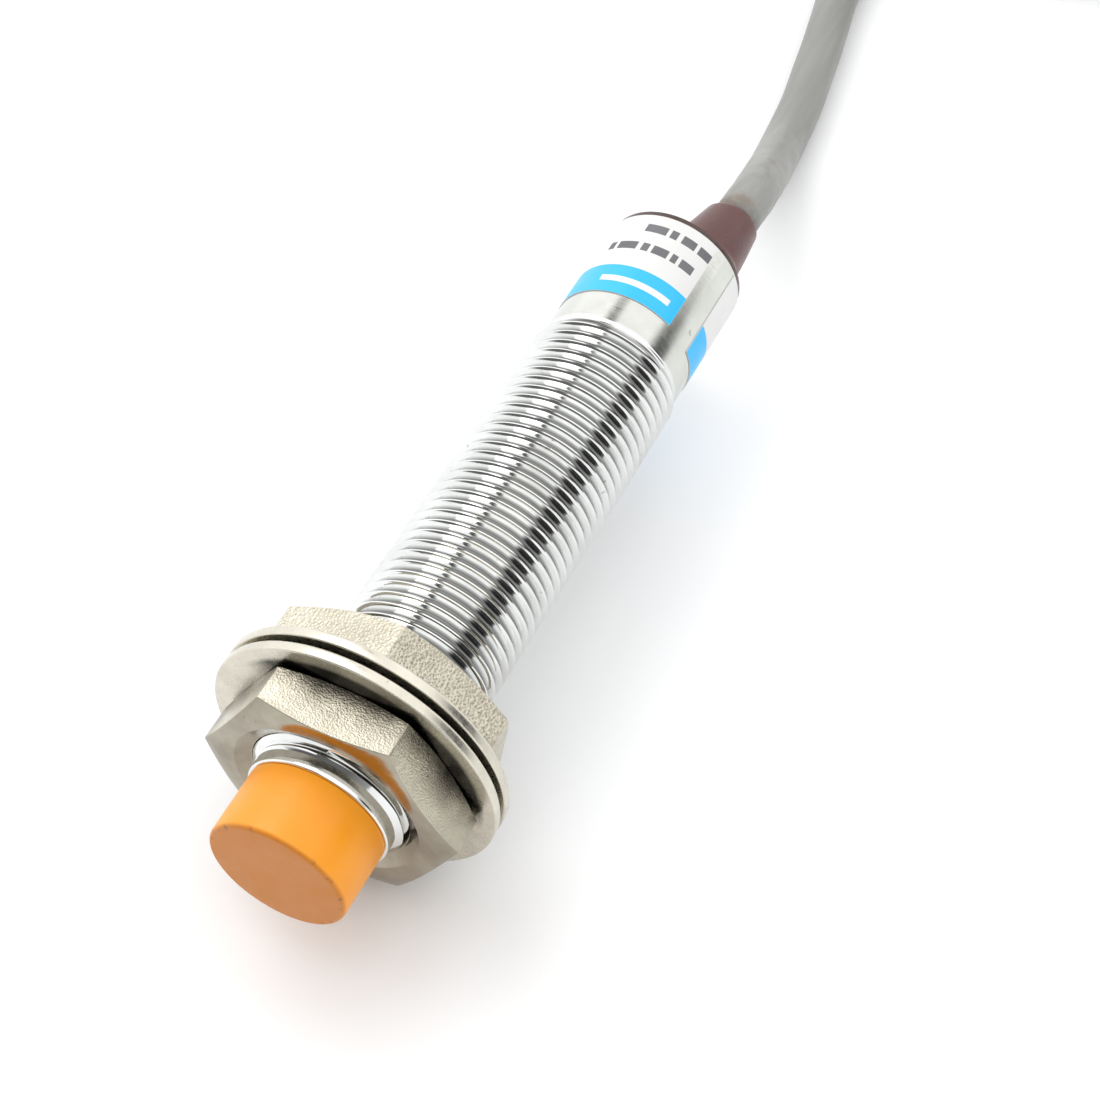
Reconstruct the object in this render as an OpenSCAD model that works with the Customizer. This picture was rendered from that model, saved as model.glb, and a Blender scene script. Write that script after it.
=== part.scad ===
// Cylindrical inductive proximity sensor, M12 x 1, with its two mounting nuts and its cable.
// The sensing face is at the origin and looks along -Y. The cable leaves at the +Y end. +Z is up.
// All sizes are in millimetres.

/* [Sensing cap] */
// Radius of the plastic cap in front of the barrel
cap_r = 5.2; // [5:0.05:5.3]
// Thickness of the cap's face
cap_face_t = 0.8; // [0.6:0.1:0.85]
// Radius of the rounding round the sensing face
cap_round = 0.35; // [0.2:0.05:0.5]
// Y of the rear end of the cap's skirt, inside the barrel
skirt_rear = 9; // [8:0.5:12]
// Radius of the cap's inside
cap_inner_r = 4.4; // [4.3:0.05:4.6]

/* [Barrel] */
// Crest radius of the thread, which is M12 x 1
thread_r = 6; // [5.95:0.01:6]
// Y of the barrel's front edge
barrel_front = 5.4; // [5.2:0.1:5.8]
// Y where the thread begins, behind the plain neck
thread_front = 6.4; // [6.2:0.1:6.5]
// Y where the thread ends
thread_rear = 49.7; // [44:0.1:50]
// Y of the barrel's rear edge
barrel_rear = 61.3; // [61.2:0.1:61.5]
// Radius of the plain neck in front of the thread
neck_r = 5.4; // [5.3:0.05:5.5]
// Radius of the plain section behind the thread
plain_r = 5.65; // [5.6:0.05:5.8]
// Radius of the barrel's bore
bore_r = 4.9; // [4.8:0.05:5]

/* [Nuts and washers] */
// Width of a nut across its flats
nut_flats = 17; // [16.5:0.1:18]
// Thickness of a nut
nut_t = 3.7; // [3.2:0.1:3.7]
// Radial clearance of a nut or a washer on the thread
nut_clearance = 0.05; // [0.02:0.01:0.1]
// Radius where a nut's countersink meets its face
countersink_r = 7.15; // [6.6:0.05:7.4]
// Depth of a nut's countersink
countersink_h = 0.6; // [0.4:0.1:0.8]
// Radius of the round face that the corner chamfer leaves
chamfer_r = 8.4; // [8:0.1:8.5]
// Depth of the corner chamfer
chamfer_h = 0.5; // [0.4:0.1:0.8]
// Outer radius of a washer
washer_r = 10.93; // [10.9:0.01:11]
// Thickness of a washer
washer_t = 0.9; // [0.7:0.1:1]
// Y of the front face of the front washer
front_washer_y = 10.3; // [10.2:0.1:12]
// Gap between the two washers
washer_gap = 0.45; // [0.4:0.05:3]
// Direction of one corner of the front nut, in degrees from +Z towards +X
front_nut_turn = -29; // [-60:1:60]
// Direction of one corner of the rear nut, in degrees from +Z towards +X
rear_nut_turn = 9; // [-60:1:60]

/* [Name label] */
// Y of the label's front edge
label_front = 52.25; // [50:0.05:54]
// Y of the label's rear edge
label_rear = 61.1; // [58:0.1:61.1]
// Thickness of the label
label_t = 0.08; // [0.05:0.01:0.15]
// Direction of the middle of the gap between the label's ends, in degrees from +Z towards +X
label_gap_middle = 55; // [0:1:180]
// Width of the gap between the label's ends, in degrees
label_gap = 27; // [5:1:60]

/* [End plug] */
// Y of the front end of the plug, inside the barrel
plug_front = 58.3; // [57:0.1:59]
// Thickness of the plug's rim behind the barrel
plug_rim_t = 0.45; // [0.3:0.05:0.6]
// Radius of the cable boss at the plug
boss_base_r = 2.95; // [2.8:0.05:3.1]
// Radius of the cable boss at its tip
boss_tip_r = 2.35; // [2.3:0.05:2.5]
// Radius of the rounding at the tip of the boss
boss_round = 0.4; // [0.2:0.05:0.4]

/* [Cable] */
// Radius of the cable's sheath
cable_r = 1.9; // [1.8:0.05:1.95]
// Radius of one insulated wire
wire_r = 0.55; // [0.45:0.01:0.56]
// Radius of the hank's outer fold, at the middle of the cable
fold_r = 15.2; // [14:0.1:16]
// Length of the hank's straight run between its two folds
hank_run = 36; // [34:1:44]
// Layers of cable in the hank
hank_layers = 3; // [2:1:4]
// Y where the cable's sheath ends, on top of the hank
sheath_end = 160; // [156:1:172]
// Length of the stripped wires at the free end
lead_length = 28; // [20:1:30]
// Length of the tinned tip of each wire
tip_length = 4; // [2:0.5:6]

/* [Circuit board] */
// Width of the board
board_w = 8; // [7:0.1:8]
// Thickness of the board
board_t = 0.8; // [0.6:0.1:1]
// Y of the front edge of the board
board_front = 5; // [4.8:0.1:6]
// Y of the rear edge of the board
board_rear = 48; // [46:0.5:48]

/* [Hidden] */

$fn = 96;
through = 1;                 // how far a cutter runs past the face that it cuts
edge_break = 0.1;            // chamfer on the barrel's front and rear edges
thread_lead = 0.4;           // chamfer at each end of the thread

nut_corner_r = nut_flats / sqrt(3);
front_nut_y = front_washer_y - nut_t;
rear_washer_y = front_washer_y + washer_t + washer_gap;
rear_nut_y = rear_washer_y + washer_t;
fit_r = thread_r + nut_clearance;

// Pot core, bobbin and winding behind the sensing face
ferrite_r = 4.2;
ferrite_front = 0.9;
ferrite_rear = 4.4;
post_r = 1.7;
groove_r = 3.5;
groove_rear = 3.5;
bobbin_inner_r = 1.75;
bobbin_outer_r = 3.4;
bobbin_front = 0.95;
bobbin_rear = 3.4;
bobbin_wall = 0.3;
lead_hole_r = 0.3;
coil_lead_r = 0.15;
coil_lead_x = 2.6;
coil_lead_rear = 6.5;

// Board and parts on it
board_top = board_t / 2;
slot_room = 0.05;            // room round the board and its parts in the resin
parts_w = 7.2;
parts_top = 2.5;
led_y = 46;

// End plug and boss
rim_r = 5.6;
rim_rear = barrel_rear + plug_rim_t;
boss_base = [2.06, rim_rear, 1.23];
boss_tip = [2.4, 67.2, 1];
boss_sink = 0.3;             // how far the boss runs into the rim
cable_x = 2.5;
cable_z = 1;
exit_y = boss_tip.y;

// Wires inside the housing
wire_circle_r = 0.66;
sheath_inner_r = 1.3;
sheath_front = 54;
wire_front = 44;
wire_bend = 46;
wire_join = 53;
wire_spacing = 1.6;

// Cable route: straight out of the boss, down to the surface, and along it to the hank
floor_z = -washer_r;
lay_z = floor_z + cable_r;
hank_x = 9.2;
front_fold_y = 140;
route = [
    [cable_x, exit_y, cable_z],
    [2.5, 69, 0.85],
    [2.4, 71, 0.3],
    [2, 73.2, -0.8],
    [1.6, 75.3, -2],
    [1, 77.8, -3.6],
    [0.4, 80.3, -5.3],
    [-0.3, 83.3, -7],
    [-0.9, 86.3, -8.3],
    [-1.3, 89, -8.9],
    [-1.7, 92.5, lay_z],
    [-2.4, 96.5, lay_z],
    [-3, 100, lay_z],
    [-3.7, 103.5, lay_z],
    [-4.4, 107, lay_z],
    [-5.1, 112, lay_z],
    [-5.7, 117.5, lay_z],
    [-6, 123, lay_z],
    [-6, 129, lay_z],
    [-6, 134, lay_z]
];

// Hank: lanes side by side, a cable's diameter apart, with the tail and the leads on top of it
pitch = 2 * cable_r;
rear_fold_y = front_fold_y + hank_run;
hank_outer_r = fold_r + cable_r;
hank_inner_r = fold_r - pitch - cable_r;
hank_h = hank_layers * pitch;
hank_top = floor_z + hank_h;
tail_r = fold_r - pitch;
tail_z = hank_top + cable_r;
tail_turns = 18;             // steps of the tail round the rear fold
tie_y = 169;
tie_t = 0.5;
tie_w = 6;
cable_sides = 8;
lead_sides = 8;
lead_spread = 1.7;
lead_rings = 6;
lead_drop = 12;              // length over which a wire comes down onto the hank
tip_r = 0.38;
tip_sides = 8;

function unit(v) = v / norm(v);

// Direction of the path at point i. The first ring is square to the first entry of start, if given.
function heading(path, i, start) =
    i == 0 ? (is_undef(start) ? unit(path[1] - path[0]) : start)
    : i == len(path) - 1 ? unit(path[i] - path[i - 1])
    : unit(path[i + 1] - path[i - 1]);

// Smooth step from 0 to 1
function ease(u) = let (v = min(1, max(0, u))) v * v * (3 - 2 * v);

// The path of one stripped wire: it leaves the sheath at across and above, and comes down onto the
// hank at lane. It runs from start to stop, measured from the end of the sheath.
function lead_path(across, above, lane, start, stop) = [
    for (i = [0 : lead_rings]) let (
        s = start + (stop - start) * i / lead_rings,
        u = ease(s / lead_drop)
    )
    [
        hank_x + tail_r + across + (lane - across) * u,
        sheath_end - s,
        tail_z + above + (hank_top + wire_r - tail_z - above) * u
    ]
];

// Turns a shape that stands on XY to lie along +Y, with its foot at y
module along_axis(y) {
    translate([0, y, 0]) rotate([-90, 0, 0]) children();
}

// A round tube swept along a list of points
module swept(path, r, sides, start = undef) {
    rings = len(path);
    points = [
        for (i = [0 : rings - 1]) let (
            t = heading(path, i, start),
            side = unit(cross(t, [0, 0, 1])),
            up = cross(side, t)
        )
        for (k = [0 : sides - 1])
            path[i] + r * (cos(360 * k / sides) * side + sin(360 * k / sides) * up)
    ];
    walls = [
        for (i = [0 : rings - 2], k = [0 : sides - 1]) let (
            a = i * sides + k,
            b = i * sides + (k + 1) % sides
        )
        each [[a, b, b + sides], [a, b + sides, a + sides]]
    ];
    first_cap = [for (k = [sides - 1 : -1 : 0]) k];
    last_cap = [for (k = [0 : sides - 1]) (rings - 1) * sides + k];
    polyhedron(points, concat([first_cap], walls, [last_cap]));
}

// A block that stands on the board, with its middle at x and y
module on_board(x, y, w, l, h) {
    translate([x - w / 2, y - l / 2, board_top]) cube([w, l, h]);
}

module barrel() {
    color("gainsboro") rotate([-90, 0, 0]) rotate_extrude() polygon([
        [bore_r, barrel_front],
        [neck_r - edge_break, barrel_front],
        [neck_r, barrel_front + edge_break],
        [neck_r, thread_front],
        [thread_r - thread_lead, thread_front],
        [thread_r, thread_front + thread_lead],
        [thread_r, thread_rear - thread_lead],
        [plain_r, thread_rear],
        [plain_r, barrel_rear - edge_break],
        [plain_r - edge_break, barrel_rear],
        [bore_r, barrel_rear]
    ]);
}

module sensing_cap() {
    color("orange") rotate([-90, 0, 0]) rotate_extrude() difference() {
        union() {
            square([cap_r - cap_round, cap_face_t]);
            translate([0, cap_round]) square([cap_r, barrel_front - cap_round]);
            translate([cap_r - cap_round, cap_round]) circle(r = cap_round);
            square([bore_r, skirt_rear]);
        }
        translate([0, cap_face_t]) square([cap_inner_r, skirt_rear]);
    }
}

module ferrite_core() {
    color("dimgray") difference() {
        along_axis(ferrite_front) cylinder(h = ferrite_rear - ferrite_front, r = ferrite_r);
        along_axis(ferrite_front - through) difference() {
            cylinder(h = groove_rear - ferrite_front + through, r = groove_r);
            cylinder(h = groove_rear - ferrite_front + through, r = post_r);
        }
        for (side = [-1, 1])
            translate([side * coil_lead_x, 0, board_top + coil_lead_r])
                along_axis(ferrite_front) cylinder(h = ferrite_rear, r = lead_hole_r, $fn = 24);
    }
}

module coil_bobbin() {
    color("ivory") rotate([-90, 0, 0]) rotate_extrude() difference() {
        translate([bobbin_inner_r, bobbin_front])
            square([bobbin_outer_r - bobbin_inner_r, bobbin_rear - bobbin_front]);
        translate([bobbin_inner_r + bobbin_wall, bobbin_front + bobbin_wall])
            square([bobbin_outer_r, bobbin_rear - bobbin_front - 2 * bobbin_wall]);
    }
}

module coil_winding() {
    winding_room = 0.1;
    color("chocolate") rotate([-90, 0, 0]) rotate_extrude()
        translate([bobbin_inner_r + bobbin_wall, bobbin_front + bobbin_wall])
            square([
                bobbin_outer_r - bobbin_inner_r - bobbin_wall - winding_room,
                bobbin_rear - bobbin_front - 2 * bobbin_wall
            ]);
}

module coil_leads() {
    color("chocolate") for (side = [-1, 1])
        translate([side * coil_lead_x, 0, board_top + coil_lead_r])
            along_axis(bobbin_rear)
                cylinder(h = coil_lead_rear - bobbin_rear, r = coil_lead_r, $fn = 24);
}

module circuit_board() {
    color("seagreen") translate([-board_w / 2, board_front, -board_t / 2])
        cube([board_w, board_rear - board_front, board_t]);
}

module oscillator_chip() {
    chip_y = 14;
    body_w = 3.9;
    leg_reach = 0.9;
    leg_pitch = 1.27;
    color("dimgray") {
        on_board(0, chip_y, body_w, 4.9, 1.5);
        for (i = [-1.5 : 1.5], side = [-1, 1])
            on_board(
                side * (body_w + leg_reach) / 2, chip_y + i * leg_pitch,
                leg_reach, 0.4, 0.25
            );
    }
}

module output_transistor() {
    transistor_y = 24;
    leg_pitch = 1.5;
    color("dimgray") {
        on_board(0, transistor_y, 4.5, 2.5, 1.5);
        for (i = [-1 : 1]) on_board(i * leg_pitch, transistor_y + 1.75, 0.5, 1, 0.4);
    }
}

module protection_diode() {
    diode_y = 32;
    color("dimgray") {
        on_board(0, diode_y, 2.6, 4.2, 2);
        for (end = [-1, 1]) on_board(0, diode_y + end * 2.35, 1.4, 0.5, 1);
    }
}

module smoothing_capacitor() {
    color("goldenrod") on_board(0, 38.5, 3.2, 1.7, 1.6);
}

module chip_resistors() {
    color("black") for (y = [19.5, 28, 36], side = [-1, 1]) on_board(side * 2.4, y, 0.8, 1.6, 0.45);
}

module chip_capacitors() {
    color("tan") for (y = [9.8, 19.5, 28, 41]) on_board(0, y, 1.6, 0.8, 0.8);
}

module indicator_led() {
    led_size = [1.2, 2, 0.8];
    color("gold") translate([-led_size.x / 2, led_y - led_size.y / 2, -board_top - led_size.z])
        cube(led_size);
}

module potting_resin() {
    wire_room_low = [-2.5, board_rear, -1.2];
    wire_room_high = [3.8, plug_front + through, 3.2];
    led_room = 2.2;
    led_drop = 1.3;
    color("saddlebrown") difference() {
        along_axis(skirt_rear) cylinder(h = plug_front - skirt_rear, r = bore_r);
        translate([-board_w / 2 - slot_room, skirt_rear - through, -board_top - slot_room])
            cube([
                board_w + 2 * slot_room,
                board_rear + slot_room - skirt_rear + through,
                board_t + 2 * slot_room
            ]);
        translate([-parts_w / 2, skirt_rear - through, 0])
            cube([parts_w, board_rear + slot_room - skirt_rear + through, parts_top]);
        translate([-led_room / 2, led_y - led_room, -led_drop])
            cube([led_room, board_rear + slot_room - led_y + led_room, led_drop]);
        translate(wire_room_low) cube(wire_room_high - wire_room_low);
        translate([cable_x, 0, cable_z]) along_axis(sheath_front - slot_room)
            cylinder(h = plug_front - sheath_front + through, r = cable_r + slot_room);
    }
}

// The boss as a round cone with a rounded tip, standing on XY
module boss_cone(h) {
    rotate_extrude() {
        polygon([
            [0, -boss_sink],
            [boss_base_r, -boss_sink],
            [boss_tip_r, h - boss_round],
            [0, h - boss_round]
        ]);
        translate([0, h - 2 * boss_round]) square([boss_tip_r - boss_round, 2 * boss_round]);
        translate([boss_tip_r - boss_round, h - boss_round]) circle(r = boss_round);
    }
}

module end_plug() {
    lean = boss_tip - boss_base;
    color("saddlebrown") difference() {
        union() {
            along_axis(plug_front) cylinder(h = barrel_rear - plug_front, r = bore_r);
            along_axis(barrel_rear) cylinder(h = plug_rim_t, r = rim_r);
            translate(boss_base)
                rotate([0, acos(lean.z / norm(lean)), atan2(lean.y, lean.x)])
                    boss_cone(norm(lean));
        }
        translate([cable_x, 0, cable_z])
            along_axis(plug_front - through)
                cylinder(h = exit_y - plug_front + 2 * through, r = cable_r);
    }
}

module name_label() {
    color("white") along_axis(label_front)
        rotate([0, 0, label_gap_middle + label_gap / 2 - 90])
            rotate_extrude(angle = 360 - label_gap)
                translate([plain_r, 0]) square([label_t, label_rear - label_front]);
}

module inner_sheath() {
    color("darkgray") translate([cable_x, 0, cable_z]) along_axis(sheath_front) difference() {
        cylinder(h = exit_y - sheath_front, r = cable_r);
        translate([0, 0, -through])
            cylinder(h = exit_y - sheath_front + 2 * through, r = sheath_inner_r);
    }
}

// One wire from the board to the end of the boss; place is -1, 0 or 1 across the board
module inner_wire(place, turn) {
    pad_x = place * wire_spacing;
    pad_z = board_top + wire_r;
    join_x = cable_x + wire_circle_r * cos(turn);
    join_z = cable_z + wire_circle_r * sin(turn);
    swept(
        [
            [pad_x, wire_front, pad_z],
            [pad_x, wire_bend, pad_z],
            [join_x, wire_join, join_z],
            [join_x, exit_y, join_z]
        ],
        wire_r, lead_sides
    );
}

module brown_core() {
    color("sienna") inner_wire(-1, 210);
}

module blue_core() {
    color("royalblue") inner_wire(1, 330);
}

module black_core() {
    color("black") inner_wire(0, 90);
}

module cable() {
    color("darkgray") swept(route, cable_r, cable_sides, [0, 1, 0]);
}

// The outline of a hank with round ends, seen from above
module hank_outline(r) {
    hull() for (y = [front_fold_y, rear_fold_y]) translate([hank_x, y]) circle(r = r);
}

module cable_hank() {
    color("darkgray") translate([0, 0, floor_z]) linear_extrude(hank_h) difference() {
        hank_outline(hank_outer_r);
        hank_outline(hank_inner_r);
    }
}

module cable_tail() {
    color("darkgray") swept(
        [
            [hank_x - tail_r, front_fold_y, tail_z],
            for (i = [0 : tail_turns]) let (a = 180 - 180 * i / tail_turns)
            [hank_x + tail_r * cos(a), rear_fold_y + tail_r * sin(a), tail_z],
            [hank_x + tail_r, sheath_end, tail_z]
        ],
        cable_r, cable_sides, [0, 1, 0]
    );
}

module hank_tie() {
    color("black") translate([hank_x, tie_y + tie_w / 2, floor_z]) rotate([90, 0, 0])
        linear_extrude(tie_w) difference() {
            translate([-hank_outer_r - tie_t, 0])
                square([2 * (hank_outer_r + tie_t), hank_h + tie_t]);
            translate([-hank_outer_r, tie_t]) square([2 * hank_outer_r, hank_h - tie_t]);
        }
}

module brown_lead() {
    color("sienna")
        swept(lead_path(-0.65, -0.4, -lead_spread, 0, lead_length), wire_r, lead_sides);
}

module blue_lead() {
    color("royalblue")
        swept(lead_path(0.65, -0.4, lead_spread, 0, lead_length), wire_r, lead_sides);
}

module black_lead() {
    color("black") swept(lead_path(0, 0.7, 0, 0, lead_length), wire_r, lead_sides);
}

module tinned_tips() {
    color("silver") for (lane = [-1 : 1])
        swept(
            lead_path(0, 0, lane * lead_spread, lead_length, lead_length + tip_length),
            tip_r, tip_sides
        );
}

// A flat ring round the thread
module washer(y) {
    along_axis(y) difference() {
        cylinder(h = washer_t, r = washer_r);
        translate([0, 0, -through]) cylinder(h = washer_t + 2 * through, r = fit_r);
    }
}

// A hexagon nut with chamfered corners and a countersunk bore
module nut(y, turn) {
    along_axis(y) rotate([0, 0, turn]) difference() {
        intersection() {
            rotate([0, 0, 30]) cylinder(h = nut_t, r = nut_corner_r, $fn = 6);
            rotate_extrude() polygon([
                [0, 0],
                [chamfer_r, 0],
                [nut_corner_r, chamfer_h],
                [nut_corner_r, nut_t - chamfer_h],
                [chamfer_r, nut_t],
                [0, nut_t]
            ]);
        }
        translate([0, 0, -through]) cylinder(h = nut_t + 2 * through, r = fit_r);
        cylinder(h = countersink_h, r1 = countersink_r, r2 = fit_r);
        translate([0, 0, nut_t - countersink_h])
            cylinder(h = countersink_h, r1 = fit_r, r2 = countersink_r);
    }
}

module front_washer() {
    color("silver") washer(front_washer_y);
}

module front_nut() {
    color("silver") nut(front_nut_y, front_nut_turn);
}

module rear_washer() {
    color("silver") washer(rear_washer_y);
}

module rear_nut() {
    color("silver") nut(rear_nut_y, rear_nut_turn);
}

barrel();
sensing_cap();
ferrite_core();
coil_bobbin();
coil_winding();
coil_leads();
circuit_board();
oscillator_chip();
output_transistor();
protection_diode();
smoothing_capacitor();
chip_resistors();
chip_capacitors();
indicator_led();
potting_resin();
end_plug();
name_label();
inner_sheath();
brown_core();
blue_core();
black_core();
cable();
cable_hank();
cable_tail();
hank_tie();
brown_lead();
blue_lead();
black_lead();
tinned_tips();
front_washer();
front_nut();
rear_washer();
rear_nut();
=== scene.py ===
"""Looks of a cylindrical inductive proximity sensor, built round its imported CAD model.

Lengths are in metres, and angles round the barrel run from +Z towards +X.
"""
import math

import bmesh
import bpy
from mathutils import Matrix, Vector


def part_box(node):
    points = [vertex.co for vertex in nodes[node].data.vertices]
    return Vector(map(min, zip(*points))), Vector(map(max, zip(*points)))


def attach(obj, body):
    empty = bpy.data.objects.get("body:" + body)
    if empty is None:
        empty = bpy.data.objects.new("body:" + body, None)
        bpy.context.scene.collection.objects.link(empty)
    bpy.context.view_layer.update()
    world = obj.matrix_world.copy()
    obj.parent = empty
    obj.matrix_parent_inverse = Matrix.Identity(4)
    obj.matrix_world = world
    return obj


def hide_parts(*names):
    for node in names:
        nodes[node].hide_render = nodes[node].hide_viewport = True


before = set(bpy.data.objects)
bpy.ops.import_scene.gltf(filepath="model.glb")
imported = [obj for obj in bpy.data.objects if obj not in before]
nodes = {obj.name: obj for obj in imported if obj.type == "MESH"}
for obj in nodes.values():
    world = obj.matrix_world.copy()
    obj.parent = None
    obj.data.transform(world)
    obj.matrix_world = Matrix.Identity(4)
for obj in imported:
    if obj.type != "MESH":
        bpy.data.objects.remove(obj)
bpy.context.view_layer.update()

MM = 0.001
TAU = 2 * math.pi

# Sizes read from the frame
barrel_low, barrel_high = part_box("barrel")
label_low, label_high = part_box("name_label")
plug_low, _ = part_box("end_plug")
sheath_low, sheath_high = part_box("inner_sheath")
hank_low, hank_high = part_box("cable_hank")
cap_low, cap_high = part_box("sensing_cap")
washer_low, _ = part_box("front_washer")
floor_z = washer_low.z

# Thread, M12 x 1, with its plain neck in front and its plain section behind
pitch = 1.0 * MM
crest_r = barrel_high.x - 0.01 * MM
root_r = crest_r - 0.6 * MM
neck_r = 5.4 * MM
plain_r = 5.65 * MM
bore_r = 4.9 * MM
plugged_r = bore_r - 0.02 * MM                     # the cap's skirt and the plug, inside the barrel
sliding_r = crest_r + 0.06 * MM                    # the bores of the nuts and washers, on the thread
thread_front = barrel_low.y + 1.0 * MM
thread_rear = barrel_high.y - 11.6 * MM

# Cable: its route's own points, then the hank, then the tail and the leads on top of it
cable_r = (sheath_high.x - sheath_low.x) / 2
cable_x = (sheath_high.x + sheath_low.x) / 2
cable_z = (sheath_high.z + sheath_low.z) / 2
exit_point = Vector((cable_x, sheath_high.y, cable_z))
lay_z = floor_z + cable_r
lay = lay_z / MM
ROUTE_MM = [
    (2.5, 69, 0.85), (2.4, 71, 0.3), (2, 73.2, -0.8), (1.6, 75.3, -2), (1, 77.8, -3.6),
    (0.4, 80.3, -5.3), (-0.3, 83.3, -7), (-0.9, 86.3, -8.3), (-1.3, 89, -8.9), (-1.7, 92.5, lay),
    (-2.4, 96.5, lay), (-3, 100, lay), (-3.7, 103.5, lay), (-4.4, 107, lay),
    (-5.1, 112, lay), (-5.7, 117.5, lay), (-6, 123, lay), (-6, 129, lay), (-6, 134, lay),
]
cable_step = 2 * cable_r
hank_x = (hank_low.x + hank_high.x) / 2
hank_outer_r = (hank_high.x - hank_low.x) / 2
outer_fold_r = hank_outer_r - cable_r
inner_fold_r = outer_fold_r - cable_step
front_fold_y = hank_low.y + hank_outer_r
rear_fold_y = hank_high.y - hank_outer_r
hank_top = hank_high.z
tail_z = hank_top + cable_r
sheath_end_y = front_fold_y + 20 * MM
lead_length = 28 * MM
lead_drop = 12 * MM
wire_r = 0.55 * MM
wire_gap = 1.7 * MM
tie_y = front_fold_y + 29 * MM
fold_points = 20

# Camera
view_target = Vector((3.9, 32.2, 0)) * MM
view_azimuth = math.radians(26.87)
view_elevation = math.radians(52.8)
view_distance = 181.3 * MM
lens_mm = 82.2
sensor_mm = 36


def ease(u):
    """Smooth step from 0 to 1."""
    u = min(1.0, max(0.0, u))
    return u * u * (3 - 2 * u)


# ---------------------------------------------------------------- camera

def make_camera():
    """Looks down on the sensor from in front and from its right."""
    back = Vector((
        math.sin(view_azimuth) * math.cos(view_elevation),
        -math.cos(view_azimuth) * math.cos(view_elevation),
        math.sin(view_elevation),
    ))
    data = bpy.data.cameras.new("camera")
    data.sensor_width = sensor_mm
    data.lens = lens_mm
    data.clip_start = 0.01
    data.clip_end = 20
    camera = bpy.data.objects.new("camera", data)
    bpy.context.scene.collection.objects.link(camera)
    camera.location = view_target + back * view_distance
    camera.rotation_euler = back.to_track_quat("Z", "Y").to_euler()
    bpy.context.scene.camera = camera


make_camera()

# ---------------------------------------------------------------- nodes and materials

class Nodes:
    """A short way to write a procedural material: each call adds one node and returns an output socket."""

    def __init__(self, name):
        self.material = bpy.data.materials.new(name)
        self.material.use_nodes = True
        self.tree = self.material.node_tree
        self.bsdf = self.tree.nodes["Principled BSDF"]
        self.coords = self.tree.nodes.new("ShaderNodeTexCoord").outputs["Object"]

    def feed(self, socket, value):
        """Links the value if it is a node's output. Otherwise stores it, a colour with its alpha."""
        if isinstance(value, bpy.types.NodeSocket):
            self.tree.links.new(value, socket)
        else:
            socket.default_value = (*value, 1) if isinstance(value, tuple) else value

    def add(self, kind, **inputs):
        made = self.tree.nodes.new(kind)
        for key, value in inputs.items():
            self.feed(made.inputs[key], value)
        return made

    def scaled(self, x, y, z):
        made = self.add("ShaderNodeMapping", Vector=self.coords)
        made.inputs["Scale"].default_value = (x, y, z)
        return made.outputs["Vector"]

    def noise(self, scale, detail=3.0, roughness=0.5, vector=None):
        made = self.add("ShaderNodeTexNoise", Vector=vector or self.coords, Scale=scale, Detail=detail,
                        Roughness=roughness)
        return made.outputs["Fac"]

    def spots(self, value, start, end):
        """Black where the value is below start, white where it is above end."""
        made = self.add("ShaderNodeValToRGB", Fac=value)
        elements = made.color_ramp.elements
        elements.new(0.5)
        for element, place, level in zip(elements, (0.0, start, end), (0, 0, 1)):
            element.position = place
            element.color = (level, level, level, 1)
        return made.outputs["Color"]

    def grey(self, value, low, high, start=0.0, end=1.0):
        """Maps a value from start..end to low..high, and holds it there outside."""
        made = self.add("ShaderNodeMapRange", Value=value)
        made.inputs["From Min"].default_value = start
        made.inputs["From Max"].default_value = end
        made.inputs["To Min"].default_value = low
        made.inputs["To Max"].default_value = high
        return made.outputs["Result"]

    def math(self, operation, a, b=0.0):
        made = self.tree.nodes.new("ShaderNodeMath")
        made.operation = operation
        for socket, value in zip(made.inputs, (a, b)):
            self.feed(socket, value)
        return made.outputs[0]

    def times(self, a, b):
        return self.math("MULTIPLY", a, b)

    def mix(self, factor, a, b):
        made = self.tree.nodes.new("ShaderNodeMix")
        made.data_type = "RGBA"
        for index, value in ((0, factor), (6, a), (7, b)):
            self.feed(made.inputs[index], value)
        return made.outputs[2]

    def bump(self, height, strength, distance):
        made = self.tree.nodes.new("ShaderNodeBump")
        made.inputs["Strength"].default_value = strength
        made.inputs["Distance"].default_value = distance
        self.tree.links.new(height, made.inputs["Height"])
        return made.outputs["Normal"]

    def axis(self, name):
        return self.add("ShaderNodeSeparateXYZ", Vector=self.coords).outputs[name]

    def off_axis(self):
        """Distance from the barrel's axis."""
        x, z = self.axis("X"), self.axis("Z")
        square = self.math("ADD", self.times(x, x), self.times(z, z))
        return self.math("POWER", square, 0.5)

    def plug(self, name, value):
        self.feed(self.bsdf.inputs[name], value)


SPECK_BROWN = (0.05, 0.045, 0.04)
# Colour of painted shade, in the thread's grooves and on the front washer round the nut.
PAINTED_SHADE_BROWN = (0.05, 0.048, 0.042)
# Colour of painted shade on the front nut's flats beside the washer.
NUT_PAINTED_SHADE_BROWN = (0.06, 0.052, 0.042)
FINE_RELIEF = 0.00002                              # bump distances
LINE_RELIEF = 0.00003
GRAIN_RELIEF = 0.00009


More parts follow.
